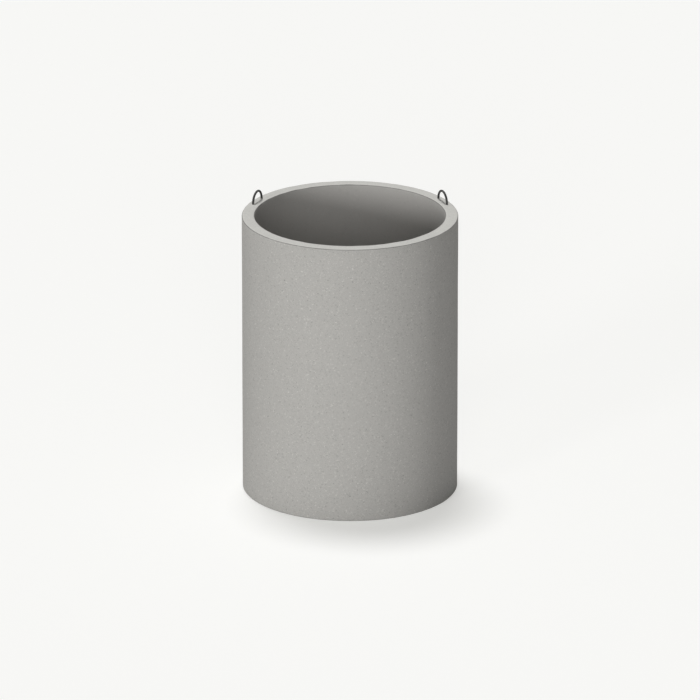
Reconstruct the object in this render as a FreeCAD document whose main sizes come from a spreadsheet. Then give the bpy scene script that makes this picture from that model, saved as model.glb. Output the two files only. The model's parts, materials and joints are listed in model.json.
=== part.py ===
"""Plain-ended concrete manhole ring with two steel lifting loops cast into its top rim.

Millimetres, +Z up. The origin is the centre of the bottom end, and the ring's axis is Z.
The loops stand in the middle of the wall, behind the ring's sides: +X is its right, +Y its back.
Each loop is one bent bar: an arch above the rim, two legs down into the wall, and a hook on each leg.
"""

import math
import os
import sys

import FreeCAD
import Part
import Sketcher

MODEL_NAME = "ManholeRing"
PARTS_FOLDER = "parts"

# alias, value, what it is (millimetres, or degrees where it says so)
DRIVING_DIMENSIONS = [
    ("inner_diameter", 1200, "bore of the ring"),
    ("outer_diameter", 1360, "outside of the ring"),
    ("ring_height", 1800, "bottom end to top end"),
    ("arris_radius", 5, "rounding of the four cast edges"),
    ("bar_diameter", 14, "plain round bar of the loops"),
    ("loop_width", 130, "leg centre to leg centre"),
    ("loop_rise", 70, "top end to the bar's centre at the crown"),
    ("leg_depth", 280, "top end to the hooks' centreline"),
    ("hook_radius", 35, "bend of each hook, on the bar's centreline"),
    ("hook_tail", 35, "straight end of each hook"),
    ("loop_azimuth", 24, "degrees behind the ring's side"),
]

# Sketcher's numbers for a vertex: an edge's start and end, and a circle's or an arc's centre
START, END, CENTRE = 1, 2, 3
# Sketcher's numbers for the axes of a sketch, and for the origin as a vertex of the first
H_AXIS, V_AXIS = -1, -2
# Two points closer together than this are one point
SAME_POINT = 1e-6


def make_sheet(doc):
    """Spreadsheet of the driving dimensions: one row each, the value in column B under its alias."""
    sheet = doc.addObject("Spreadsheet::Sheet", "Dimensions")
    for row, (alias, value, note) in enumerate(DRIVING_DIMENSIONS, start=1):
        sheet.set(f"A{row}", alias)
        sheet.set(f"B{row}", str(value))
        sheet.set(f"C{row}", note)
        sheet.setAlias(f"B{row}", alias)
    doc.recompute()
    return sheet


def make_sketch(body, name, plane_role):
    """Empty sketch on one of the body's own origin planes."""
    sketch = body.newObject("Sketcher::SketchObject", name)
    plane = next(f for f in body.Origin.OriginFeatures if f.Role == plane_role)
    sketch.AttachmentSupport = [(plane, "")]
    sketch.MapMode = "FlatFace"
    return sketch


def bind(sketch, kind, elements, name, value, formula):
    """Dimensional constraint of a sketch that follows a formula on the spreadsheet."""
    index = sketch.addConstraint(Sketcher.Constraint(kind, *elements, value))
    sketch.renameConstraint(index, name)
    sketch.setExpression(f"Constraints.{name}", formula)


def draw_wall_section(sketch, sheet):
    """Rectangle of the wall's section, standing on the horizontal axis at the bore's radius."""
    inner = sheet.inner_diameter / 2
    outer = sheet.outer_diameter / 2
    top = sheet.ring_height
    corners = [FreeCAD.Vector(x, y, 0) for x, y in ((inner, 0), (outer, 0), (outer, top), (inner, top))]
    edges = [Part.LineSegment(corners[i], corners[(i + 1) % 4]) for i in range(4)]
    bottom_edge, outer_edge, top_edge, inner_edge = sketch.addGeometry(edges, False)
    ring = (bottom_edge, outer_edge, top_edge, inner_edge)
    for edge, following in zip(ring, ring[1:] + ring[:1]):
        sketch.addConstraint(Sketcher.Constraint("Coincident", edge, END, following, START))
    for edge in (bottom_edge, top_edge):
        sketch.addConstraint(Sketcher.Constraint("Horizontal", edge))
    for edge in (outer_edge, inner_edge):
        sketch.addConstraint(Sketcher.Constraint("Vertical", edge))
    sketch.addConstraint(Sketcher.Constraint("PointOnObject", bottom_edge, START, H_AXIS))
    bind(sketch, "DistanceX", (H_AXIS, START, bottom_edge, START), "inner_radius", inner,
         "Dimensions.inner_diameter / 2 * 1 mm")
    bind(sketch, "DistanceX", (H_AXIS, START, bottom_edge, END), "outer_radius", outer,
         "Dimensions.outer_diameter / 2 * 1 mm")
    bind(sketch, "DistanceY", (outer_edge, START, outer_edge, END), "height", top,
         "Dimensions.ring_height * 1 mm")


def make_wall_blank(doc, sheet):
    """Cast wall before the loops take their place in it: a revolved rectangle with rounded arrises."""
    body = doc.addObject("PartDesign::Body", "WallBlank")
    section = make_sketch(body, "WallSection", "XZ_Plane")
    draw_wall_section(section, sheet)
    wall = body.newObject("PartDesign::Revolution", "WallRevolution")
    wall.Profile = section
    wall.ReferenceAxis = (section, ["V_Axis"])
    wall.Angle = 360
    section.Visibility = False
    doc.recompute()
    arrises = [
        f"Edge{i}"
        for i, edge in enumerate(wall.Shape.Edges, start=1)
        if isinstance(edge.Curve, Part.Circle)
    ]
    rounding = body.newObject("PartDesign::Fillet", "Arrises")
    rounding.Base = (wall, arrises)
    rounding.setExpression("Radius", "Dimensions.arris_radius * 1 mm")
    doc.recompute()
    return body


def draw_loop_path(sketch, sheet):
    """Centreline of a loop, symmetrical about the vertical axis, whose origin is at the rim's level.

    From the left: hook tail, hook bend, leg, half-round arch, leg, hook bend, hook tail.
    """
    half = sheet.loop_width / 2
    spring = sheet.loop_rise - half
    bend = sheet.hook_radius
    tail = half + bend + sheet.hook_tail
    floor = -sheet.leg_depth

    def point(x, y):
        return FreeCAD.Vector(x, y, 0)

    def quarter(side):
        centre = point(side * (half + bend), floor + bend)
        foot = point(side * (half + bend), floor)
        inward = bend * (1 - math.cos(math.pi / 4))
        knee = point(side * (half + inward), floor + inward)
        rise = point(side * half, floor + bend)
        return centre, foot, knee, rise

    _, left_foot, left_knee, left_rise = quarter(-1)
    _, right_foot, right_knee, right_rise = quarter(1)
    left_tail, left_bend, left_leg, arch, right_leg, right_bend, right_tail = sketch.addGeometry(
        [
            Part.LineSegment(point(-tail, floor), left_foot),
            Part.Arc(left_foot, left_knee, left_rise),
            Part.LineSegment(left_rise, point(-half, spring)),
            Part.Arc(point(-half, spring), point(0, spring + half), point(half, spring)),
            Part.LineSegment(point(half, spring), right_rise),
            Part.Arc(right_rise, right_knee, right_foot),
            Part.LineSegment(right_foot, point(tail, floor)),
        ],
        False,
    )

    def end_at(geometry, x, y):
        """The vertex number, START or END, of a geometry's end that lies at a point."""
        return START if sketch.getPoint(geometry, START).distanceToPoint(point(x, y)) < SAME_POINT else END

    joints = [
        (left_tail, left_bend, -half - bend, floor),
        (left_bend, left_leg, -half, floor + bend),
        (left_leg, arch, -half, spring),
        (arch, right_leg, half, spring),
        (right_leg, right_bend, half, floor + bend),
        (right_bend, right_tail, half + bend, floor),
    ]
    for before, after, x, y in joints:
        sketch.addConstraint(
            Sketcher.Constraint("Tangent", before, end_at(before, x, y), after, end_at(after, x, y))
        )
    for leg in (left_leg, right_leg):
        sketch.addConstraint(Sketcher.Constraint("Vertical", leg))
    for hook in (left_tail, right_tail):
        sketch.addConstraint(Sketcher.Constraint("Horizontal", hook))
    sketch.addConstraint(Sketcher.Constraint("PointOnObject", arch, CENTRE, V_AXIS))
    sketch.addConstraint(Sketcher.Constraint("Equal", left_bend, right_bend))
    sketch.addConstraint(Sketcher.Constraint("Equal", left_tail, right_tail))
    sketch.addConstraint(
        Sketcher.Constraint("Horizontal", left_tail, END, right_tail, START)
    )
    bind(sketch, "Radius", (arch,), "arch_radius", half, "Dimensions.loop_width / 2 * 1 mm")
    bind(sketch, "DistanceY", (H_AXIS, START, arch, CENTRE), "arch_centre", spring,
         "(Dimensions.loop_rise - Dimensions.loop_width / 2) * 1 mm")
    bind(sketch, "Radius", (left_bend,), "hook_radius", bend, "Dimensions.hook_radius * 1 mm")
    bind(sketch, "DistanceX", (left_tail, START, left_tail, END), "hook_tail", sheet.hook_tail,
         "Dimensions.hook_tail * 1 mm")
    bind(sketch, "DistanceY", (left_tail, START, H_AXIS, START), "leg_depth", sheet.leg_depth,
         "Dimensions.leg_depth * 1 mm")


def draw_bar_section(sketch, sheet):
    """Circle of the bar, square to the end of the left hook's tail."""
    centre = FreeCAD.Vector(0, -sheet.leg_depth, 0)
    circle = Part.Circle(centre, FreeCAD.Vector(0, 0, 1), sheet.bar_diameter / 2)
    bar = sketch.addGeometry(circle, False)
    sketch.addConstraint(Sketcher.Constraint("PointOnObject", bar, CENTRE, V_AXIS))
    bind(sketch, "Diameter", (bar,), "bar_diameter", sheet.bar_diameter, "Dimensions.bar_diameter * 1 mm")
    bind(sketch, "DistanceY", (bar, CENTRE, H_AXIS, START), "leg_depth", sheet.leg_depth,
         "Dimensions.leg_depth * 1 mm")
    sketch.setExpression(
        "AttachmentOffset.Base.z",
        "-(Dimensions.loop_width / 2 + Dimensions.hook_radius + Dimensions.hook_tail) * 1 mm",
    )


def make_loop(doc, sheet, name, label, azimuth):
    """Lifting loop at an azimuth, a formula in degrees from +X, with its plane along the wall."""
    body = doc.addObject("PartDesign::Body", name)
    body.Label = label
    path = make_sketch(body, f"{name}Path", "XZ_Plane")
    draw_loop_path(path, sheet)
    section = make_sketch(body, f"{name}Section", "YZ_Plane")
    draw_bar_section(section, sheet)
    doc.recompute()
    bar = body.newObject("PartDesign::AdditivePipe", f"{name}Bar")
    bar.Profile = section
    bar.Spine = (path, [f"Edge{i}" for i in range(1, len(path.Shape.Edges) + 1)])
    for sketch in (path, section):
        sketch.Visibility = False
    middle = "(Dimensions.inner_diameter + Dimensions.outer_diameter) / 4 * 1 mm"
    body.setExpression("Placement.Base.x", f"{middle} * cos(({azimuth}) * 1 deg)")
    body.setExpression("Placement.Base.y", f"{middle} * sin(({azimuth}) * 1 deg)")
    body.setExpression("Placement.Base.z", "Dimensions.ring_height * 1 mm")
    body.setExpression("Placement.Rotation.Angle", f"(90 + {azimuth}) * 1 deg")
    doc.recompute()
    return body


def make_ring_wall(doc, blank, loops):
    """Wall with the room that the cast-in loops take cut out of it."""
    wall = blank
    for number, loop in enumerate(loops, start=1):
        cut = doc.addObject("Part::Cut", f"RoomForLoop{number}")
        cut.Base = wall
        cut.Tool = loop
        wall = cut
    wall.Label = "ring_wall"
    doc.recompute()
    return wall


def check_document(doc):
    """Stops the macro if an object of the document failed."""
    for item in doc.Objects:
        if "Invalid" in item.State or "Error" in item.State:
            sys.exit(f"{item.Name} failed: {item.State}")


def check_part(part):
    """Stops the macro if a sub-part isn't one sound solid."""
    shape = part.Shape
    if shape.isNull() or not shape.isValid() or len(shape.Solids) != 1:
        sys.exit(f"{part.Label} isn't one valid solid")


def report_volumes(sheet, wall, loops):
    """Prints each volume, and the bar's section times its length for comparison."""
    print(f"{wall.Label}: {wall.Shape.Volume / 1e9:.5f} m3")
    for loop in loops:
        path = next(item for item in loop.Group if item.Name.endswith("Path"))
        section = math.pi * sheet.bar_diameter ** 2 / 4
        expected = section * sum(edge.Length for edge in path.Shape.Edges)
        print(f"{loop.Label}: {loop.Shape.Volume:.1f} mm3, section times length {expected:.1f} mm3")


def main():
    doc = FreeCAD.newDocument(MODEL_NAME)
    sheet = make_sheet(doc)
    blank = make_wall_blank(doc, sheet)
    loops = [
        make_loop(doc, sheet, "RightLoop", "lifting_loop_right", "Dimensions.loop_azimuth"),
        make_loop(doc, sheet, "LeftLoop", "lifting_loop_left", "180 - Dimensions.loop_azimuth"),
    ]
    wall = make_ring_wall(doc, blank, loops)
    check_document(doc)
    parts = [wall, *loops]
    for part in parts:
        check_part(part)
    report_volumes(sheet, wall, loops)
    os.makedirs(PARTS_FOLDER, exist_ok=True)
    for part in parts:
        part.Shape.exportStep(os.path.join(PARTS_FOLDER, f"{part.Label}.step"))


main()
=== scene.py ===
import json
import math

import bpy
import numpy as np
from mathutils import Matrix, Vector


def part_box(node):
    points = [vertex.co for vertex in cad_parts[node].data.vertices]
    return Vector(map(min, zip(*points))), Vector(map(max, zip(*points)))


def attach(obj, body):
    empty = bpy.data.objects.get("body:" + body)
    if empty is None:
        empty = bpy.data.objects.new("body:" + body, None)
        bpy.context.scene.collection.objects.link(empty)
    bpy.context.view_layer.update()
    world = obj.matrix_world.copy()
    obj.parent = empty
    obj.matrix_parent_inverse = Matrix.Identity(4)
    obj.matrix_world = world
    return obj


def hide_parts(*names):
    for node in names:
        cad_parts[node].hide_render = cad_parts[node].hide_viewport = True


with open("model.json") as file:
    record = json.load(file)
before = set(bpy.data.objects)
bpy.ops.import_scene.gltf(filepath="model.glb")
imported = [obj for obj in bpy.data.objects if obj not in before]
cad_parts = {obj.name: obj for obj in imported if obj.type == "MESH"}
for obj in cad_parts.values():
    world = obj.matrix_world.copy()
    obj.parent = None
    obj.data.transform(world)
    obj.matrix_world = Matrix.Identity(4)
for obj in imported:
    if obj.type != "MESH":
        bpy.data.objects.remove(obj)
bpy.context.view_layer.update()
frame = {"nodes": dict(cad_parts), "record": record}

mounts = {mount["name"]: mount for mount in frame["record"]["mounts"]}
wallLow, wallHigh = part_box("ring_wall")
outerRadius = wallHigh.x
boreRadius = mounts["bore"]["dims"]["r_mm"] / 1000
ringHeight = wallHigh.z
ringMiddle = (wallLow + wallHigh) / 2
print("frame loaded:", ", ".join(sorted(frame["nodes"])))


# a mesh object from points and four-cornered faces, smooth apart from the edges between two marked points
def makePiece(name, points, faces, finishes, finishOf=None, crease=None):
    mesh = bpy.data.meshes.new(name)
    mesh.from_pydata(points.tolist(), [], faces.tolist())
    mesh.shade_smooth()
    for finish in finishes:
        mesh.materials.append(finish)
    if finishOf is not None:
        mesh.polygons.foreach_set("material_index", finishOf.astype(np.int32))
    if crease is not None:
        ends = np.empty(2 * len(mesh.edges), np.int32)
        mesh.edges.foreach_get("vertices", ends)
        sharp = crease[ends.reshape(-1, 2)].all(axis=1)
        mesh.attributes.new("sharp_edge", "BOOLEAN", "EDGE").data.foreach_set("value", sharp)
    mesh.update()
    piece = bpy.data.objects.new(name, mesh)
    bpy.context.scene.collection.objects.link(piece)
    return piece


# sum of cosines of the distance along random directions, each with its own wavelength and phase,
# scaled so that most values lie between -1 and 1
def softNoise(points, wavelength, seed, waves=24):
    rng = np.random.default_rng(seed)
    directions = rng.normal(size=(waves, 3))
    directions /= np.linalg.norm(directions, axis=1, keepdims=True)
    lengths = wavelength * rng.uniform(0.7, 1.5, waves)
    phases = rng.uniform(0, 2 * math.pi, waves)
    angles = points @ (2 * math.pi * directions / lengths[:, None]).T + phases
    return np.cos(angles).sum(axis=-1) / math.sqrt(waves)


# links each input whose value is another node's socket, and sets each whose value is plain
def feed(tree, node, inputs):
    for key, value in dict(inputs).items():
        if isinstance(value, bpy.types.NodeSocket):
            tree.links.new(value, node.inputs[key])
        else:
            node.inputs[key].default_value = value


# adds a node with its settings and its inputs
def place(tree, kind, inputs=(), **settings):
    node = tree.nodes.new(kind)
    for key, value in settings.items():
        setattr(node, key, value)
    feed(tree, node, inputs)
    return node


# the result of one arithmetic step on sockets or numbers
def maths(tree, operation, *terms):
    return place(tree, "ShaderNodeMath", enumerate(terms), operation=operation).outputs[0]


# a soft step from 0 at the first edge to 1 at the second
def softStep(tree, value, edge0, edge1):
    ramp = place(tree, "ShaderNodeMapRange", {"Value": value, "From Min": edge0, "From Max": edge1},
                 interpolation_type="SMOOTHSTEP")
    return ramp.outputs["Result"]


# an empty node group with named sockets, and its input sockets by name
def openGroup(name, inputs, outputs):
    tree = bpy.data.node_groups.new(name, "ShaderNodeTree")
    for label, kind, value in inputs:
        socket = tree.interface.new_socket(label, in_out="INPUT", socket_type=kind)
        if value is not None:
            socket.default_value = value
    for label in outputs:
        tree.interface.new_socket(label, in_out="OUTPUT", socket_type="NodeSocketFloat")
    entry = tree.nodes.new("NodeGroupInput")
    return tree, entry.outputs


# joins a group's results to its output sockets
def closeGroup(tree, results):
    place(tree, "NodeGroupOutput", results)
    return tree


fleckShape = {
    "darkFrom": 0.72,  # cells whose chance is above this get darker
    "paleBelow": 0.3,  # and below this, paler
    "smallest": 0.3,  # a fleck's radius, in cells
    "spread": 0.45,  # how much larger the largest is
    "core": 0.35,  # the share of the radius inside which a fleck has its full tone
    "bend": 2.4,  # how far noise bends it, in fleck sizes
    "bendDetail": 1.7,  # bends for each fleck size
}


# sand is fine noise; flecks are the middles of scattered cells, some dark and some pale, each with a size
# of its own, and bent out of round by noise about as fine as themselves
def makeGrainGroup():
    tree, given = openGroup("mineral grain", [
        ("Position", "NodeSocketVector", None),
        ("Sand Size", "NodeSocketFloat", 0.002),
        ("Sand Contrast", "NodeSocketFloat", 0.1),
        ("Fleck Size", "NodeSocketFloat", 0.01),
        ("Fleck Contrast", "NodeSocketFloat", 0.1),
    ], ["Tone", "Relief"])
    sandScale = maths(tree, "DIVIDE", 1.0, given["Sand Size"])
    sand = place(tree, "ShaderNodeTexNoise", {"Vector": given["Position"], "Scale": sandScale,
                                              "Detail": 3.0, "Roughness": 0.6}).outputs["Fac"]
    centred = maths(tree, "SUBTRACT", sand, 0.5)
    fleckScale = maths(tree, "DIVIDE", 1.0, given["Fleck Size"])
    bendScale = maths(tree, "MULTIPLY", fleckScale, fleckShape["bendDetail"])
    bends = place(tree, "ShaderNodeTexNoise", {"Vector": given["Position"], "Scale": bendScale,
                                               "Detail": 2.0})
    bend = place(tree, "ShaderNodeVectorMath", {0: bends.outputs["Color"], 1: (0.5, 0.5, 0.5)},
                 operation="SUBTRACT")
    bendLength = maths(tree, "MULTIPLY", given["Fleck Size"], fleckShape["bend"])
    bend = place(tree, "ShaderNodeVectorMath", {0: bend.outputs[0], "Scale": bendLength}, operation="SCALE")
    bent = place(tree, "ShaderNodeVectorMath", {0: given["Position"], 1: bend.outputs[0]}, operation="ADD")
    cells = place(tree, "ShaderNodeTexVoronoi", {"Vector": bent.outputs[0], "Scale": fleckScale})
    chances = place(tree, "ShaderNodeSeparateColor", {"Color": cells.outputs["Color"]}).outputs
    dark = softStep(tree, chances["Red"], fleckShape["darkFrom"], 1.0)
    pale = softStep(tree, chances["Red"], fleckShape["paleBelow"], 0.0)
    radius = maths(tree, "MULTIPLY_ADD", chances["Green"], fleckShape["spread"], fleckShape["smallest"])
    reach = maths(tree, "DIVIDE", cells.outputs["Distance"], radius)
    middle = softStep(tree, reach, 1.0, fleckShape["core"])
    fleck = maths(tree, "MULTIPLY", maths(tree, "SUBTRACT", pale, dark), middle)
    tone = maths(tree, "MULTIPLY_ADD", centred, given["Sand Contrast"], 1.0)
    tone = maths(tree, "MULTIPLY_ADD", fleck, given["Fleck Contrast"], tone)
    return closeGroup(tree, {"Tone": tone, "Relief": centred})


# broad clouds: smooth noise about 1, of a stated size
def makeCloudGroup():
    tree, given = openGroup("cement clouds", [
        ("Position", "NodeSocketVector", None),
        ("Size", "NodeSocketFloat", 0.2),
        ("Contrast", "NodeSocketFloat", 0.05),
    ], ["Tone"])
    scale = maths(tree, "DIVIDE", 1.0, given["Size"])
    noise = place(tree, "ShaderNodeTexNoise", {"Vector": given["Position"], "Scale": scale,
                                               "Detail": 4.0, "Roughness": 0.55}).outputs["Fac"]
    centred = maths(tree, "SUBTRACT", noise, 0.5)
    return closeGroup(tree, {"Tone": maths(tree, "MULTIPLY_ADD", centred, given["Contrast"], 1.0)})


pinholeSizes = {"smallest": 0.4, "spread": 0.8}  # of the stated radius


# pinholes: a disc round the seed of some of the scattered cells, each with a radius of its own
def makePinholeGroup():
    tree, given = openGroup("pinholes", [
        ("Position", "NodeSocketVector", None),
        ("Spacing", "NodeSocketFloat", 0.02),
        ("Share", "NodeSocketFloat", 0.4),
        ("Radius", "NodeSocketFloat", 0.0012),
    ], ["Mask"])
    scale = maths(tree, "DIVIDE", 1.0, given["Spacing"])
    cells = place(tree, "ShaderNodeTexVoronoi", {"Vector": given["Position"], "Scale": scale})
    colour = place(tree, "ShaderNodeSeparateColor", {"Color": cells.outputs["Color"]}).outputs
    present = maths(tree, "LESS_THAN", colour["Red"], given["Share"])
    share = maths(tree, "MULTIPLY_ADD", colour["Green"], pinholeSizes["spread"], pinholeSizes["smallest"])
    size = maths(tree, "MULTIPLY", share, given["Radius"])
    reach = maths(tree, "DIVIDE", maths(tree, "MULTIPLY", cells.outputs["Distance"], given["Spacing"]), size)
    mask = maths(tree, "MULTIPLY", softStep(tree, reach, 1.0, 0.6), present)
    return closeGroup(tree, {"Mask": mask})


arrisShadeBand = {
    # painted shade: the band's colour is this share of the concrete's, darker than the light the rounded edge
    # catches
    "tone": 0.43,
    "raggedness": 0.45,
    "raggedScale": 45.0,  # ragged turns of the band's edge per metre
    "from": 0.15,  # closeness at which the painted shade starts
    "full": 0.75,  # and at which it is full
}


# painted shade along an arris: a dark band from its closeness, made ragged by noise
def makeArrisShadeGroup():
    tree, given = openGroup("painted arris shade", [
        ("Position", "NodeSocketVector", None),
        ("Closeness", "NodeSocketFloat", 0.0),
        ("Raggedness", "NodeSocketFloat", 0.5),
    ], ["Mask"])
    noise = place(tree, "ShaderNodeTexNoise", {"Vector": given["Position"], "Detail": 3.0,
                                               "Scale": arrisShadeBand["raggedScale"]}).outputs["Fac"]
    centred = maths(tree, "SUBTRACT", noise, 0.5)
    level = maths(tree, "MULTIPLY_ADD", centred, given["Raggedness"], given["Closeness"])
    return closeGroup(tree, {"Mask": softStep(tree, level, arrisShadeBand["from"], arrisShadeBand["full"])})


grainGroup = makeGrainGroup()
cloudGroup = makeCloudGroup()
pinholeGroup = makePinholeGroup()
arrisShadeGroup = makeArrisShadeGroup()


# one of the groups above, placed in a material with its own values
def useGroup(tree, group, inputs):
    node = place(tree, "ShaderNodeGroup", node_tree=group)
    feed(tree, node, inputs)
    return node.outputs


# sizes are in metres; streakSize is a streak's size along x, y and z
concreteFinishes = {
    "castWallConcrete": {
        "colour": (0.500, 0.490, 0.465), "sandSize": 0.0034, "sandContrast": 0.75,
        "fleckSize": 0.0080, "fleckContrast": 0.37, "cloudSize": 0.30, "cloudContrast": 0.03,
        "streakSize": (0.05, 0.05, 1.1), "streakContrast": 0.02,
        "pinholeSpacing": 0.024, "pinholeShare": 0.5, "pinholeRadius": 0.0014,
        "roughness": 0.86, "bump": 0.0006,
    },
    "boreConcrete": {
        "colour": (0.490, 0.478, 0.456), "sandSize": 0.0026, "sandContrast": 0.30,
        "fleckSize": 0.014, "fleckContrast": 0.07, "cloudSize": 0.24, "cloudContrast": 0.06,
        "streakSize": (0.06, 0.06, 0.9), "streakContrast": 0.03,
        "pinholeSpacing": 0.022, "pinholeShare": 0.5, "pinholeRadius": 0.0015,
        "roughness": 0.88, "bump": 0.0006,
    },
    "trowelledConcretePaintedLight": {
        # painted light: the rim's colour is paler than the walls', standing in for the stronger light it gets
        # from above
        "colour": (0.635, 0.628, 0.596), "sandSize": 0.0026, "sandContrast": 0.38,
        "fleckSize": 0.008, "fleckContrast": 0.18, "cloudSize": 0.09, "cloudContrast": 0.10,
        "streakSize": (0.16, 0.16, 0.16), "streakContrast": 0.06,
        "pinholeSpacing": 0.018, "pinholeShare": 0.35, "pinholeRadius": 0.0011,
        "roughness": 0.82, "bump": 0.0005,
    },
    "palletConcrete": {
        "colour": (0.480, 0.472, 0.450), "sandSize": 0.0034, "sandContrast": 0.50,
        "fleckSize": 0.012, "fleckContrast": 0.12, "cloudSize": 0.12, "cloudContrast": 0.12,
        "streakSize": (0.20, 0.20, 0.20), "streakContrast": 0.05,
        "pinholeSpacing": 0.015, "pinholeShare": 0.6, "pinholeRadius": 0.0016,
        "roughness": 0.90, "bump": 0.0009,
    },
}
concreteSurface = {
    "pinholeShadeTone": 0.55,  # painted shade: a pinhole's floor is coloured darker, as the shade inside it
    "grainRoughness": 0.15,  # how much the sand varies the roughness
    "bumpStrength": 0.7,
    "gloss": 0.12,
}


# cast concrete: one colour times the tones of grain, clouds and streaks, with painted shade in pinholes and
# in a dark band along the arrises
def makeConcrete(name, look):
    material = bpy.data.materials.new(name)
    material.use_nodes = True
    tree = material.node_tree
    shader = tree.nodes["Principled BSDF"]
    position = place(tree, "ShaderNodeTexCoord").outputs["Object"]
    grain = useGroup(tree, grainGroup, {
        "Position": position, "Sand Size": look["sandSize"], "Sand Contrast": look["sandContrast"],
        "Fleck Size": look["fleckSize"], "Fleck Contrast": look["fleckContrast"]})
    clouds = useGroup(tree, cloudGroup, {
        "Position": position, "Size": look["cloudSize"], "Contrast": look["cloudContrast"]})
    stretched = place(tree, "ShaderNodeVectorMath", {0: position, 1: look["streakSize"]},
                      operation="DIVIDE").outputs[0]
    streaks = useGroup(tree, cloudGroup, {
        "Position": stretched, "Size": 1.0, "Contrast": look["streakContrast"]})
    pinholes = useGroup(tree, pinholeGroup, {
        "Position": position, "Spacing": look["pinholeSpacing"], "Share": look["pinholeShare"],
        "Radius": look["pinholeRadius"]})
    closeness = place(tree, "ShaderNodeAttribute", attribute_name="arris").outputs["Fac"]
    wearAndArrisShade = useGroup(tree, arrisShadeGroup, {
        "Position": position, "Closeness": closeness, "Raggedness": arrisShadeBand["raggedness"]})
    tone = maths(tree, "MULTIPLY", grain["Tone"], clouds["Tone"])
    tone = maths(tree, "MULTIPLY", tone, streaks["Tone"])
    # painted shade: the colour darker in each pinhole
    shade = maths(tree, "MULTIPLY_ADD", pinholes["Mask"], concreteSurface["pinholeShadeTone"] - 1, 1.0)
    # painted shade: the concrete darker in a band along each arris
    edgeShade = maths(tree, "MULTIPLY_ADD", wearAndArrisShade["Mask"], arrisShadeBand["tone"] - 1, 1.0)
    tone = maths(tree, "MULTIPLY", tone, maths(tree, "MULTIPLY", shade, edgeShade))
    colour = place(tree, "ShaderNodeVectorMath", {0: look["colour"], "Scale": tone}, operation="SCALE")
    tree.links.new(colour.outputs[0], shader.inputs["Base Color"])
    rough = maths(tree, "MULTIPLY_ADD", grain["Relief"], concreteSurface["grainRoughness"], look["roughness"])
    tree.links.new(rough, shader.inputs["Roughness"])
    height = maths(tree, "SUBTRACT", grain["Relief"], pinholes["Mask"])
    bump = place(tree, "ShaderNodeBump", {"Height": height, "Strength": concreteSurface["bumpStrength"],
                                          "Distance": look["bump"]})
    tree.links.new(bump.outputs["Normal"], shader.inputs["Normal"])
    shader.inputs["Specular IOR Level"].default_value = concreteSurface["gloss"]
    return material


finishNames = ["castWallConcrete", "trowelledConcretePaintedLight", "boreConcrete", "palletConcrete"]
concretes = [makeConcrete(name, concreteFinishes[name]) for name in finishNames]
print("concrete finishes made:", ", ".join(finishNames))

ringShape = {
    "arrisRadius": 0.005,
    "columns": 576,  # faces round the ring
    "wallRows": 40,  # faces up each wall, an even number
    "endRows": 6,  # faces across each end, an even number
    "arrisRows": 4,  # faces round each arris
    "wallWave": 0.0003,  # the mould's faint waviness
    "wallWaveLength": 0.5,
    "trowelWave": 0.0007,  # what the trowel leaves on the rim
    "trowelWaveLength": 0.14,
    "arrisWander": 0.0005,  # how much more or less an arris is rounded along its length
    "arrisWanderLength": 0.05,
    "wallSeed": 11,
    "trowelSeed": 12,
    "arrisSeed": 13,
    "voidSeed": 1218,
}


# the runs of the wall's section, anticlockwise from the foot of the bore, and how far along it each starts
sectionWidth = outerRadius - boreRadius - 2 * ringShape["arrisRadius"]
sectionRise = ringHeight - 2 * ringShape["arrisRadius"]
quarterArc = ringShape["arrisRadius"] * math.pi / 2
sectionRuns = [sectionWidth, quarterArc, sectionRise, quarterArc] * 2
sectionMarks = np.concatenate([[0], np.cumsum(sectionRuns)])
footEnd, footArris, outerWall, outerArris, rimEnd, rimArris, boreWall, boreArris = range(8)


# the section as a closed line by its own length: a point of an inset rectangle, and the outward direction
# there, which turns only at the corners; the skin is the arris radius away from the point in that direction
def sectionAt(along):
    inset = ringShape["arrisRadius"]
    nearR, farR = boreRadius + inset, outerRadius - inset
    lowZ, highZ = wallLow.z + inset, wallHigh.z - inset
    middleR = np.interp(along, sectionMarks, [nearR, farR, farR, farR, farR, nearR, nearR, nearR, nearR])
    middleZ = np.interp(along, sectionMarks, [lowZ, lowZ, lowZ, highZ, highZ, highZ, highZ, lowZ, lowZ])
    quarters = np.interp(along, sectionMarks, [-1, -1, 0, 0, 1, 1, 2, 2, 3])
    return middleR, middleZ, quarters * math.pi / 2


# a point of the ring's skin: the section turned round the axis, moved outwards by the skin's relief
# and by lift
def ringPoint(around, along, lift=0.0):
    middleR, middleZ, tilt = sectionAt(along)
    inset = ringShape["arrisRadius"]
    radius = middleR + inset * np.cos(tilt)
    rough = np.stack([radius * np.cos(around), radius * np.sin(around), middleZ + inset * np.sin(tilt)], -1)
    onRim = np.clip(np.sin(tilt), 0, 1) ** 2
    onArris = np.sin(2 * tilt) ** 2
    moulded = softNoise(rough, ringShape["wallWaveLength"], ringShape["wallSeed"])
    trowelled = softNoise(rough, ringShape["trowelWaveLength"], ringShape["trowelSeed"])
    wander = 1 + softNoise(rough, ringShape["arrisWanderLength"], ringShape["arrisSeed"])
    relief = ringShape["wallWave"] * (1 - onRim) * moulded
    relief += ringShape["trowelWave"] * onRim * trowelled
    relief -= ringShape["arrisWander"] * onArris * wander
    out = inset + relief + lift
    radius = middleR + out * np.cos(tilt)
    return np.stack([radius * np.cos(around), radius * np.sin(around), middleZ + out * np.sin(tilt)], -1)


# rows of the grid along the section: each run cut into equal faces
rowsOfRun = [ringShape["endRows"], ringShape["arrisRows"], ringShape["wallRows"], ringShape["arrisRows"]] * 2
rowStarts = np.concatenate([[0], np.cumsum(rowsOfRun)])
rowAlong = np.concatenate([
    sectionMarks[run] + sectionRuns[run] * np.arange(count) / count for run, count in enumerate(rowsOfRun)
])
columnCount, rowCount = ringShape["columns"], len(rowAlong)
columnAround = 2 * math.pi * np.arange(columnCount) / columnCount


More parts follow.
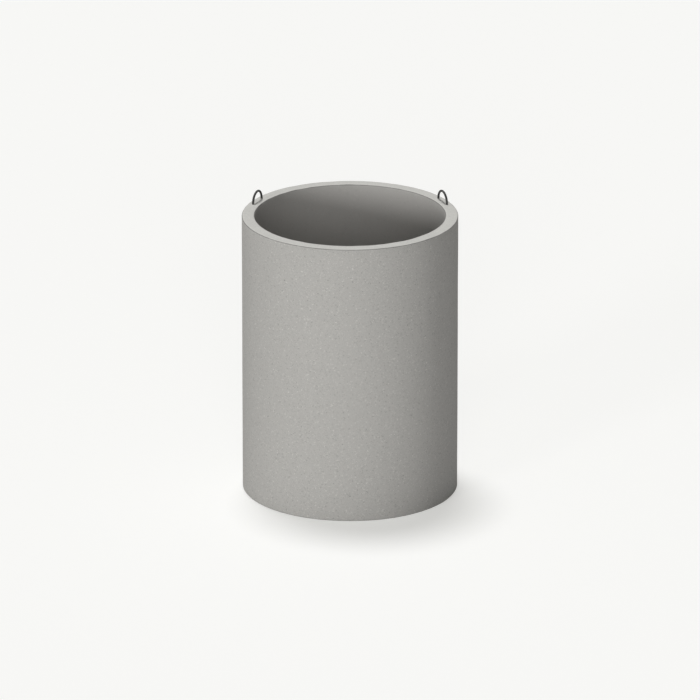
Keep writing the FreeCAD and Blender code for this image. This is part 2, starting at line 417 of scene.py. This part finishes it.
def gridIndex(column, row):
    return (column % columnCount) * rowCount + row % rowCount


# block x block faces of the grid as a closed line of grid points, anticlockwise from their first corner
def blockOutline(column, row, block):
    step = np.arange(block)
    edge, end = np.zeros(block, int), np.full(block, block)
    right = np.concatenate([step, end, block - step, edge])
    up = np.concatenate([edge, step, end, block - step])
    return gridIndex(column[:, None] + right, row[:, None] + up)


# rings of points inside each block, as (around, along, lift) for every block, ring and spoke;
# the spokes start at the block's first corner
def blockRings(around, along, radius, block, reaches, lifts, uneven):
    spokes = 4 * block
    turn = 2 * math.pi * np.arange(spokes) / spokes + 1.25 * math.pi
    reach = radius[:, None, None] * np.asarray(reaches)[:, None] * uneven[:, None, :]
    middleR, _, tilt = sectionAt(along)
    skinRadius = middleR + ringShape["arrisRadius"] * np.cos(tilt)
    ringAround = around[:, None, None] + reach * np.cos(turn) / skinRadius[:, None, None]
    ringAlong = along[:, None, None] + reach * np.sin(turn)
    ringLift = np.broadcast_to(np.asarray(lifts)[..., :, None], ringAround.shape)
    return ringAround, ringAlong, ringLift


# faces that join a closed line of points to the next one inside it, for many blocks at once
def bandFaces(outer, inner):
    faces = np.stack([outer, np.roll(outer, -1, 1), np.roll(inner, -1, 1), inner], -1)
    return faces.reshape(-1, 4)


# faces that close the innermost line over a middle point, two of its edges to each face
def capFaces(line, middle):
    first, second, third = line[:, 0::2], line[:, 1::2], np.roll(line, -2, 1)[:, 0::2]
    faces = np.stack([first, second, third, np.broadcast_to(middle[:, None], first.shape)], -1)
    return faces.reshape(-1, 4)


airVoids = {
    "count": {outerWall: 430, rimEnd: 60, boreWall: 330, footEnd: 50},
    "radius": (0.0016, 0.0042),
    "depthShare": (0.35, 0.75),  # of the radius
    "reaches": (1.0, 0.84, 0.48),  # rings from the void's lip to its floor, in shares of its radius
    "depths": (0.0, 0.6, 0.93),  # the same rings, in shares of its depth
    "uneven": 0.16,
    "smallness": 2.2,  # above 1, small voids are the more common
    "sideways": 0.2,  # how far a void leaves its block's middle, in columns
    "alongShare": 0.8,  # and along the section, in shares of the room there
    "margin": 1.6,  # the room left round a void, in radii
    "block": 2,  # faces opened for each, along each side
}

loopShape = {
    "barRadius": 0.007,
    "legSpacing": 0.130,
    "hookRadius": 0.035,
    "hookTail": 0.035,
    "sides": 28,  # faces round the bar
    "flattening": 0.02,  # of the radius, on the bends
    "waves": (0.00008, 0.00005),  # unevenness of rolled stock, coarse and fine
    "waveLengths": (0.018, 0.005),
    "waveSeeds": (21, 22),
}

pasteCollar = {
    "reaches": (1.75, 1.35, 1.12, 0.98, 0.80),  # rings round a loop's leg, in bar radii
    "lifts": (0.0001, 0.0006, 0.0016, 0.0026, -0.002),  # what the paste rises there
    "uneven": 0.04,
    "block": 4,  # faces opened for each, along each side
}


# where a loop stands, from its own box: middle, direction along the wall, and the heights of the bar's
# middle line at the crown and at the hooks
def loopPlace(node):
    low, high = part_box(node)
    middle = (low + high) / 2
    along = Vector((-middle.y, middle.x, 0)).normalized()
    return middle, along, high.z - loopShape["barRadius"], low.z + loopShape["barRadius"]


loopNodes = ["lifting_loop_right", "lifting_loop_left"]


# around and along of each loop leg where it leaves the rim
def legPlaces():
    legs = []
    for node in loopNodes:
        middle, direction, _, _ = loopPlace(node)
        legs += [middle + direction * side * loopShape["legSpacing"] / 2 for side in (-1, 1)]
    legs = np.array([leg[:2] for leg in legs])
    fromOuter = outerRadius - ringShape["arrisRadius"] - np.hypot(legs[:, 0], legs[:, 1])
    return np.arctan2(legs[:, 1], legs[:, 0]) % (2 * math.pi), sectionMarks[rimEnd] + fromOuter


# the ring: a grid of faces over the skin, with a block of faces opened at each air void and at each loop leg
def makeRing():
    rng = np.random.default_rng(ringShape["voidSeed"])
    column, row = np.meshgrid(np.arange(columnCount), np.arange(rowCount), indexing="ij")
    around, along = columnAround[column].ravel(), rowAlong[row].ravel()
    lift = np.zeros(around.size)
    lip = np.zeros(around.size, bool)
    kept = np.ones((columnCount, rowCount), bool)
    newFaces = []

    def openBlocks(firstColumn, firstRow, block, rings, middle, lipRing=None):
        nonlocal around, along, lift, lip
        for right in range(block):
            for up in range(block):
                kept[(firstColumn + right) % columnCount, firstRow + up] = False
        ringCount, spokes = rings[0].shape[1:]
        index = around.size + np.arange(rings[0].size).reshape(-1, ringCount, spokes)
        middleIndex = index.max() + 1 + np.arange(len(firstColumn))
        around = np.concatenate([around, rings[0].ravel(), middle[0]])
        along = np.concatenate([along, rings[1].ravel(), middle[1]])
        lift = np.concatenate([lift, rings[2].ravel(), middle[2]])
        marks = np.zeros(rings[0].shape, bool)
        if lipRing is not None:
            marks[:, lipRing] = True
        lip = np.concatenate([lip, marks.ravel(), np.zeros(len(firstColumn), bool)])
        newFaces.append(bandFaces(blockOutline(firstColumn, firstRow, block), index[:, 0]))
        for ring in range(ringCount - 1):
            newFaces.append(bandFaces(index[:, ring], index[:, ring + 1]))
        newFaces.append(capFaces(index[:, -1], middleIndex))

    legAround, legAlong = legPlaces()
    legBlock = pasteCollar["block"]
    legColumn = np.rint(legAround / columnAround[1]).astype(int) - legBlock // 2
    rimStep = sectionWidth / ringShape["endRows"]
    legRow = np.rint((legAlong - sectionMarks[rimEnd]) / rimStep).astype(int) - legBlock // 2
    legRow = rowStarts[rimEnd] + np.clip(legRow, 0, ringShape["endRows"] - legBlock)
    legRadius = np.full(len(legAround), loopShape["barRadius"])
    uneven = 1 + pasteCollar["uneven"] * rng.standard_normal((len(legAround), 4 * legBlock))
    rings = blockRings(legAround, legAlong, legRadius, legBlock,
                       pasteCollar["reaches"], pasteCollar["lifts"], uneven)
    floor = np.full(len(legAround), pasteCollar["lifts"][-1])
    openBlocks(legColumn, legRow, legBlock, rings, (legAround, legAlong, floor))

    voidBlock = airVoids["block"]
    for run, count in airVoids["count"].items():
        across, high = columnCount // voidBlock, rowsOfRun[run] // voidBlock
        spot = rng.choice(across * high, count, replace=False)
        firstColumn, firstRow = voidBlock * (spot % across), rowStarts[run] + voidBlock * (spot // across)
        free = kept[firstColumn, firstRow] & kept[firstColumn + 1, firstRow]
        free &= kept[firstColumn, firstRow + 1] & kept[firstColumn + 1, firstRow + 1]
        firstColumn, firstRow = firstColumn[free], firstRow[free]
        count = len(firstColumn)
        growth = rng.random(count) ** airVoids["smallness"]
        radius = airVoids["radius"][0] + np.ptp(airVoids["radius"]) * growth
        rowStep = sectionRuns[run] / rowsOfRun[run]
        roomAlong = np.maximum(voidBlock * rowStep / 2 - airVoids["margin"] * radius, 0)
        sideways = rng.uniform(-airVoids["sideways"], airVoids["sideways"], count)
        upwards = rng.uniform(-airVoids["alongShare"], airVoids["alongShare"], count)
        voidAround = columnAround[firstColumn] + columnAround[1] * (1 + sideways)
        voidAlong = rowAlong[firstRow] + rowStep + roomAlong * upwards
        depth = radius * rng.uniform(*airVoids["depthShare"], count)
        uneven = 1 + airVoids["uneven"] * rng.uniform(-1, 1, (count, 4 * voidBlock))
        lifts = -depth[:, None] * np.asarray(airVoids["depths"])
        rings = blockRings(voidAround, voidAlong, radius, voidBlock, airVoids["reaches"], lifts, uneven)
        openBlocks(firstColumn, firstRow, voidBlock, rings, (voidAround, voidAlong, -depth), 0)

    corners = [gridIndex(column + right, row + up) for right, up in ((0, 0), (1, 0), (1, 1), (0, 1))]
    faces = np.concatenate([np.stack(corners, -1)[kept], *newFaces])
    used, faces = np.unique(faces, return_inverse=True)
    faces = faces.reshape(-1, 4)
    around, along, lift, lip = around[used], along[used], lift[used], lip[used]
    cornerAround, cornerAlong = around[faces], along[faces]
    for corner, whole in ((cornerAround, 2 * math.pi), (cornerAlong, sectionMarks[-1])):
        acrossSeam = np.ptp(corner, axis=1)[:, None] > whole / 2
        corner += whole * acrossSeam * (corner < whole / 2)
    faceTilt = sectionAt(cornerAlong.mean(axis=1) % sectionMarks[-1])[2]
    zone = np.rint(faceTilt / (math.pi / 2)).astype(int) % 4
    ring = makePiece("concrete_ring", ringPoint(around, along, lift), faces, concretes, zone, lip)
    unrolled = ring.data.uv_layers.new(name="OFBake")
    flat = np.stack([cornerAround / (2 * math.pi), cornerAlong / sectionMarks[-1]], -1)
    unrolled.uv.foreach_set("vector", flat.astype(np.float32).ravel())
    closeness = np.abs(np.sin(2 * sectionAt(along)[2]))
    ring.data.attributes.new("arris", "FLOAT", "POINT").data.foreach_set("value", closeness)
    return ring


concreteRing = makeRing()
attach(concreteRing, "root")
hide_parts("ring_wall")
print("ring made:", len(concreteRing.data.polygons), "faces")


loopFinish = {
    "scale": (0.030, 0.029, 0.028),  # rolled black skin
    "wearAndArrisShade": (0.060, 0.057, 0.053),  # where the skin is rubbed
    "patchSize": 0.02,
    "patchFrom": 0.45,  # noise level at which the rubbing starts
    "patchFull": 0.7,
    "sandSize": 0.0012,
    "sandContrast": 0.5,
    "fleckSize": 0.004,
    "fleckContrast": 0.15,
    "roughness": 0.55,
    "rubbedSmoother": 0.15,
    "gloss": 0.3,
    "bumpStrength": 0.6,
    "bump": 0.0004,
}


# hot-rolled bar: black mill scale with slightly paler rubbed patches and a fine scaly relief
def makeLoopSteel():
    material = bpy.data.materials.new("rolledLoopSteel")
    material.use_nodes = True
    tree = material.node_tree
    shader = tree.nodes["Principled BSDF"]
    position = place(tree, "ShaderNodeTexCoord").outputs["Object"]
    patches = place(tree, "ShaderNodeTexNoise", {"Vector": position, "Scale": 1 / loopFinish["patchSize"],
                                                 "Detail": 5.0, "Roughness": 0.6}).outputs["Fac"]
    grain = useGroup(tree, grainGroup, {
        "Position": position,
        "Sand Size": loopFinish["sandSize"], "Sand Contrast": loopFinish["sandContrast"],
        "Fleck Size": loopFinish["fleckSize"], "Fleck Contrast": loopFinish["fleckContrast"]})
    rubbed = softStep(tree, patches, loopFinish["patchFrom"], loopFinish["patchFull"])
    colour = place(tree, "ShaderNodeMix", {"Factor": rubbed}, data_type="RGBA")
    colour.inputs[6].default_value = (*loopFinish["scale"], 1)
    colour.inputs[7].default_value = (*loopFinish["wearAndArrisShade"], 1)
    toned = place(tree, "ShaderNodeVectorMath", {0: colour.outputs[2], "Scale": grain["Tone"]},
                  operation="SCALE")
    tree.links.new(toned.outputs[0], shader.inputs["Base Color"])
    rough = maths(tree, "MULTIPLY_ADD", rubbed, -loopFinish["rubbedSmoother"], loopFinish["roughness"])
    tree.links.new(rough, shader.inputs["Roughness"])
    bump = place(tree, "ShaderNodeBump", {"Height": grain["Relief"], "Strength": loopFinish["bumpStrength"],
                                          "Distance": loopFinish["bump"]})
    tree.links.new(bump.outputs["Normal"], shader.inputs["Normal"])
    shader.inputs["Specular IOR Level"].default_value = loopFinish["gloss"]
    return material


# the bar's middle line in its own upright plane, as (across, up) with the crown on the axis:
# straight runs and round bends laid end to end, and its heading at each point
def loopPath(crown, floor):
    half = loopShape["legSpacing"] / 2
    bend, tail = loopShape["hookRadius"], loopShape["hookTail"]
    spring = crown - half

    def straight(start, end, count):
        share = np.arange(count)[:, None] / count
        return np.array(start) + share * (np.array(end) - np.array(start))

    def arc(centre, radius, start, turn, count):
        angle = np.radians(start + turn * np.arange(count) / count)
        return np.array(centre) + radius * np.stack([np.cos(angle), np.sin(angle)], -1)

    line = [
        straight((-half - bend - tail, floor), (-half - bend, floor), 6),
        arc((-half - bend, floor + bend), bend, -90, 90, 12),
        straight((-half, floor + bend), (-half, spring), 60),
        arc((0, spring), half, 180, -180, 72),
        straight((half, spring), (half, floor + bend), 60),
        arc((half + bend, floor + bend), bend, 180, 90, 12),
        straight((half + bend, floor), (half + bend + tail, floor), 6),
        [[half + bend + tail, floor]],
    ]
    line = np.concatenate(line)
    heading = np.gradient(line, axis=0)
    return line, heading / np.linalg.norm(heading, axis=1, keepdims=True)


# the bar: a circle carried along the loop's line, square to it, slightly flattened on the bends
# and with the unevenness of rolled stock
def makeLoop(name, node, steel):
    middle, direction, crown, floor = loopPlace(node)
    line, heading = loopPath(crown, floor)
    sides = loopShape["sides"]
    turn = 2 * math.pi * np.arange(sides) / sides
    direction, up = np.array(direction), np.array([0.0, 0.0, 1.0])
    centre = np.array([middle.x, middle.y, 0]) + line[:, :1] * direction + line[:, 1:] * up
    sideways = np.cross(direction, up)
    upright = -heading[:, 1:] * direction + heading[:, :1] * up
    spoke = np.cos(turn)[:, None] * upright[:, None, :] + np.sin(turn)[:, None] * sideways
    bending = np.abs(np.gradient(np.unwrap(np.arctan2(heading[:, 1], heading[:, 0]))))
    bending = np.convolve(bending / bending.max(), np.ones(5) / 5, "same")
    radius = loopShape["barRadius"] * (1 - loopShape["flattening"] * bending[:, None] * np.cos(2 * turn))
    skin = centre[:, None, :] + radius[..., None] * spoke
    waves = zip(loopShape["waves"], loopShape["waveLengths"], loopShape["waveSeeds"])
    uneven = sum(height * softNoise(skin, length, seed) for height, length, seed in waves)
    points = skin + uneven[..., None] * spoke
    count = len(line)
    index = np.arange(count * sides).reshape(count, sides)
    faces = np.stack([index[:-1], np.roll(index[:-1], -1, 1), np.roll(index[1:], -1, 1), index[1:]], -1)
    ends = np.array([count * sides, count * sides + 1])
    cutStart = capFaces(index[:1, ::-1], ends[:1])
    cutEnd = capFaces(index[-1:], ends[1:])
    points = np.concatenate([points.reshape(-1, 3), centre[:1], centre[-1:]])
    faces = np.concatenate([faces.reshape(-1, 4), cutStart, cutEnd])
    lip = np.zeros(len(points), bool)
    lip[index[[0, -1]]] = True
    bar = makePiece(name, points, faces, [steel], crease=lip)
    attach(bar, "root")
    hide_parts(node)
    return bar


loopSteel = makeLoopSteel()
loopNames = ["loop_bar_right", "loop_bar_left"]
loopBars = [makeLoop(name, node, loopSteel) for name, node in zip(loopNames, loopNodes)]
print("loops made:", ", ".join(bar.name for bar in loopBars))

cameraPlace = {
    "elevation": math.degrees(math.asin(1 / 3)),  # a circle shows as an ellipse a third as high as it is wide
    "distance": 60.0,
    "frameWidth": 3.25 * 2 * outerRadius,  # what the frame is wide at the ring
    "sensor": 36.0,
    "nearest": 1.0,
    "farthest": 180.0,
}


# a long lens, far off, at its elevation straight in front of the ring's middle
def makeCamera():
    lens = cameraPlace["sensor"] * cameraPlace["distance"] / cameraPlace["frameWidth"]
    camera = bpy.data.cameras.new("camera")
    camera.sensor_width, camera.lens = cameraPlace["sensor"], lens
    camera.clip_start, camera.clip_end = cameraPlace["nearest"], cameraPlace["farthest"]
    holder = bpy.data.objects.new("camera", camera)
    rise = math.radians(cameraPlace["elevation"])
    back = Vector((0, -math.cos(rise), math.sin(rise)))
    holder.location = ringMiddle + back * cameraPlace["distance"]
    holder.rotation_mode = "QUATERNION"
    holder.rotation_quaternion = back.to_track_quat("Z", "Y")
    bpy.context.scene.collection.objects.link(holder)
    bpy.context.scene.camera = holder


# azimuth is measured from the camera's side, to the right; softness is the lamp's width as an angle;
# all in degrees
lamps = {
    "wallKey": {"azimuth": -37, "elevation": 4, "softness": 14, "strength": 1.40},
    "wallFill": {"azimuth": -2, "elevation": 14, "softness": 24, "strength": 0.70},
    "rimTop": {"azimuth": -162, "elevation": 77, "softness": 16, "strength": 2.00},
}
surroundings = {
    "backdrop": (0.930, 0.930, 0.913),
    "ambient": (0.12, 0.12, 0.12),
}
studioFloor = {
    "size": 400.0,
    "colour": (0.55, 0.55, 0.55),
    "ownLight": (0.476, 0.476, 0.459),
}


lampDistance = 8.0  # only where a lamp's symbol stands: its light comes from one direction everywhere


# a sun lamp in the direction of its azimuth and elevation, seen from the ring's middle
def makeLamp(name, lamp):
    sun = bpy.data.lights.new(name, "SUN")
    sun.energy, sun.angle = lamp["strength"], math.radians(lamp["softness"])
    holder = bpy.data.objects.new(name, sun)
    turn, rise = math.radians(lamp["azimuth"]), math.radians(lamp["elevation"])
    towards = Vector((math.sin(turn) * math.cos(rise), -math.cos(turn) * math.cos(rise), math.sin(rise)))
    holder.location = ringMiddle + lampDistance * towards
    holder.rotation_mode = "QUATERNION"
    holder.rotation_quaternion = towards.to_track_quat("Z", "Y")
    bpy.context.scene.collection.objects.link(holder)


# 1 for rays from the camera and for mirrored or transmitted ones, which all see the plain backdrop
def seenRays(tree):
    path = place(tree, "ShaderNodeLightPath").outputs
    seen = maths(tree, "MAXIMUM", path["Is Camera Ray"], path["Is Glossy Ray"])
    return maths(tree, "MAXIMUM", seen, path["Is Transmission Ray"])


# an even grey light from all round, behind a backdrop that lights nothing
def makeSurroundings():
    world = bpy.data.worlds.new("studio")
    world.use_nodes = True
    tree = world.node_tree
    tree.nodes.clear()
    ambient = place(tree, "ShaderNodeBackground", {"Color": (*surroundings["ambient"], 1)})
    backdrop = place(tree, "ShaderNodeBackground", {"Color": (*surroundings["backdrop"], 1)})
    mixed = place(tree, "ShaderNodeMixShader", {0: seenRays(tree), 1: ambient.outputs[0],
                                                2: backdrop.outputs[0]})
    place(tree, "ShaderNodeOutputWorld", {"Surface": mixed.outputs[0]})
    bpy.context.scene.world = world


# a level square under the ring, with the ring's shadow, and a light of its own that lights nothing else
def makeFloor():
    half = studioFloor["size"] / 2
    corners = np.array([(-half, -half, 0), (half, -half, 0), (half, half, 0), (-half, half, 0)], float)
    material = bpy.data.materials.new("studioFloor")
    material.use_nodes = True
    tree = material.node_tree
    tree.nodes.clear()
    paper = place(tree, "ShaderNodeBsdfDiffuse", {"Color": (*studioFloor["colour"], 1)})
    glow = place(tree, "ShaderNodeEmission", {"Color": (*studioFloor["ownLight"], 1)})
    bright = place(tree, "ShaderNodeAddShader", {0: paper.outputs[0], 1: glow.outputs[0]})
    mixed = place(tree, "ShaderNodeMixShader", {0: seenRays(tree), 1: paper.outputs[0], 2: bright.outputs[0]})
    place(tree, "ShaderNodeOutputMaterial", {"Surface": mixed.outputs[0]})
    floor = makePiece("studio_floor", corners, np.array([[0, 1, 2, 3]]), [material])


makeCamera()
for lampName, lampFacts in lamps.items():
    makeLamp(lampName, lampFacts)
makeSurroundings()
makeFloor()
bpy.context.scene.view_settings.view_transform = "Standard"
print("camera, lamps, surroundings and floor made")
